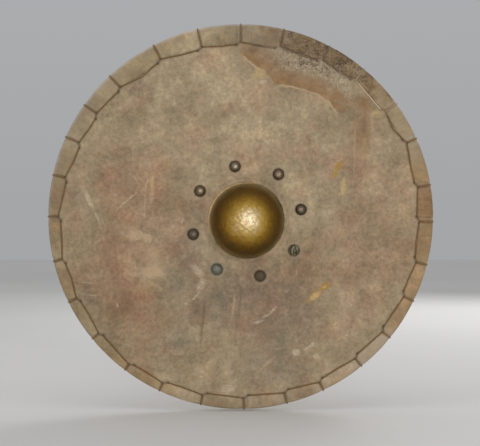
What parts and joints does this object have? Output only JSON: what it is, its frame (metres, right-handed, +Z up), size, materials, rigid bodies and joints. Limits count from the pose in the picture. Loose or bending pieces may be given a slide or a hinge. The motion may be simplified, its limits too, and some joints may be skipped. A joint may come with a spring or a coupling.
{
  "type": "round shield",
  "caption": "Round centre-grip shield: plank board faced with rawhide, folded rawhide rim laced on with cord, riveted domed brass boss over the hand hole, wooden grip bar behind.",
  "frame": {"origin": "on the boss axis at the centre of the hand hole, in the plane of the planks' backs", "axes": "-Y points forward out of the boss, +Y towards the holder, +Z up, +X to the right as seen from the front"},
  "size_m": [0.6138, 0.0831, 0.614],
  "materials": {
    "planks": "old oiled lime wood, plane marks, darkened round the hand hole",
    "hide": "rawhide, scraped, greyish tan, stained and scratched, satin",
    "binding": "rawhide strip, ochre tan, satin",
    "binding_patch": "rawhide strip, darker brown, satin",
    "lacing": "dark waxed twisted cord",
    "boss_brass": "hammered, polished on the crown, brown patina at the foot",
    "rivet_dark": "dark brown patina, polished on top",
    "rivet_green": "dull grey-green verdigris",
    "rove_brass": "sheared sheet, dull patina",
    "grip_wood": "ash, dark with handling, satin",
    "sleeve_leather": "dark brown leather, worn glossy",
    "iron": "forged, brown-black oxide"
  },
  "bodies": {
    "root": {"plank_1": "planks", "plank_2": "planks", "plank_3": "planks", "plank_4": "planks", "plank_5": "planks", "plank_6": "planks", "hide_facing": "hide", "boss": "boss_brass", "boss_rivet_1": "rivet_dark", "boss_rivet_2": "rivet_dark", "boss_rivet_3": "rivet_dark", "boss_rivet_4": "rivet_dark", "boss_rivet_5": "rivet_dark", "boss_rivet_6": "rivet_green", "boss_rivet_7": "rivet_green", "boss_rivet_8": "rivet_green", "boss_rove_1": "rove_brass", "boss_rove_2": "rove_brass", "boss_rove_3": "rove_brass", "boss_rove_4": "rove_brass", "boss_rove_5": "rove_brass", "boss_rove_6": "rove_brass", "boss_rove_7": "rove_brass", "boss_rove_8": "rove_brass", "binding_strip_upper_right": "binding", "binding_strip_upper_left": "binding", "binding_strip_lower_left": "binding", "binding_strip_lower_right": "binding", "binding_strip_patch": "binding_patch", "rim_lacing": "lacing", "lacing_knot": "lacing", "grip_bar": "grip_wood", "grip_sleeve": "sleeve_leather", "grip_rivet_left_outer": "iron", "grip_rivet_left_inner": "iron", "grip_rivet_right_inner": "iron", "grip_rivet_right_outer": "iron", "grip_rove_left_outer": "iron", "grip_rove_left_inner": "iron", "grip_rove_right_inner": "iron", "grip_rove_right_outer": "iron", "grip_nail_left": "iron", "grip_nail_right": "iron"}
  },
  "joints": []
}
